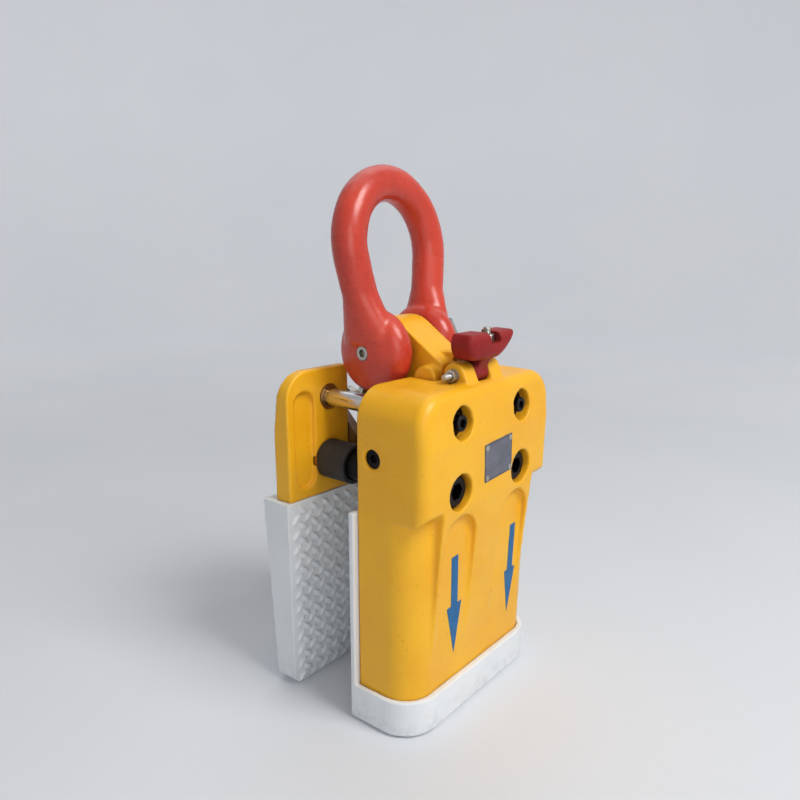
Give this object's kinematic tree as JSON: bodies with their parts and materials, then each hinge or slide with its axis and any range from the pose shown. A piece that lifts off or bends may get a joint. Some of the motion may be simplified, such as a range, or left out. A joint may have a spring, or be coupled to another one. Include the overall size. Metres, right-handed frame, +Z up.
{
  "type": "slab lifting clamp",
  "caption": "Upright lifting clamp for kerbs and slabs: a shackle lifts a lug whose cam slots draw a rubber-faced rear jaw towards the front jaw along guide rods.",
  "frame": {"origin": "centre of the overall box at floor level, under the boots", "axes": "+Z up, +Y from the front jaw to the rear jaw, X along the jaws"},
  "size_m": [0.18, 0.1586, 0.4155],
  "materials": {
    "yellow_paint": "semi-gloss yellow paint on a casting",
    "red_paint": "satin red paint on a forging",
    "dark_red_paint": "dull dark red paint",
    "white_rubber": "matt off-white moulded rubber",
    "zinc_steel": "zinc plated steel",
    "bright_steel": "ground bright steel",
    "black_steel": "black oxide steel, lightly oiled",
    "bronze": "plain bearing bronze",
    "plate_metal": "dull grey sheet",
    "black_rubber": "matt black rubber"
  },
  "bodies": {
    "front_jaw": {"front_casing": "yellow_paint", "front_boot": "white_rubber", "front_backing_plate": "zinc_steel", "backing_plate_screws": "zinc_steel", "upper_guide_rod_left": "bright_steel", "upper_guide_rod_right": "bright_steel", "lower_guide_rod_left": "black_steel", "lower_guide_rod_right": "black_steel", "upper_rod_screws": "black_steel", "upper_rod_washers": "black_steel", "lower_rod_screws": "black_steel", "lower_rod_washers": "black_steel", "lug_guide_pin": "bright_steel", "guide_pin_grub_screws": "black_steel", "lug_guide_channel": "bronze", "name_plate": "plate_metal", "name_plate_rivets": "zinc_steel", "latch_pivot_bolt": "zinc_steel", "latch_pivot_nut": "zinc_steel", "latch_washers": "zinc_steel"},
    "lug": {"lifting_lug": "yellow_paint", "lug_bush": "bronze", "drive_pin": "bright_steel"},
    "rollers": {"drive_roller_left": "bright_steel", "drive_roller_right": "bright_steel"},
    "shackle": {"shackle_bow": "red_paint", "shackle_pin": "zinc_steel", "shackle_lock_screw": "zinc_steel"},
    "latch": {"latch_lever": "dark_red_paint", "latch_lever_bush": "bronze", "latch_stop_bolt": "zinc_steel", "latch_stop_nut": "zinc_steel"},
    "rear_jaw": {"rear_jaw": "yellow_paint", "rear_boot": "white_rubber", "cam_plate_left": "zinc_steel", "cam_plate_right": "zinc_steel", "cam_plate_screws": "zinc_steel", "upper_rod_bushes": "bronze", "lower_rod_bushes": "bronze", "rod_buffers": "black_rubber"}
  },
  "joints": [
    {"name": "rear_jaw_slide", "type": "slide", "parent": "front_jaw", "child": "rear_jaw", "axis": [0, -1, 0], "range_m": [0, 0.04]},
    {"name": "lug_lift", "type": "slide", "parent": "front_jaw", "child": "lug", "axis": [0, 0, 1], "range_m": [0, 0.04]},
    {"name": "roller_spin", "type": "hinge", "parent": "lug", "child": "rollers", "pos_m": [0, 0.0168, 0.1943], "axis": [1, 0, 0], "range_deg": [0, 406]},
    {"name": "shackle_swing", "type": "hinge", "parent": "lug", "child": "shackle", "pos_m": [0, 0.0133, 0.2825], "axis": [1, 0, 0], "range_deg": [-75, 60]},
    {"name": "latch_swing", "type": "hinge", "parent": "front_jaw", "child": "latch", "pos_m": [0, -0.0557, 0.272], "axis": [1, 0, 0], "range_deg": [-22, 0]}
  ],
  "couplings": [
    {"joint": "lug_lift", "follows": "rear_jaw_slide", "ratio": 1},
    {"joint": "roller_spin", "follows": "rear_jaw_slide", "rad_per_m": 176.78}
  ]
}
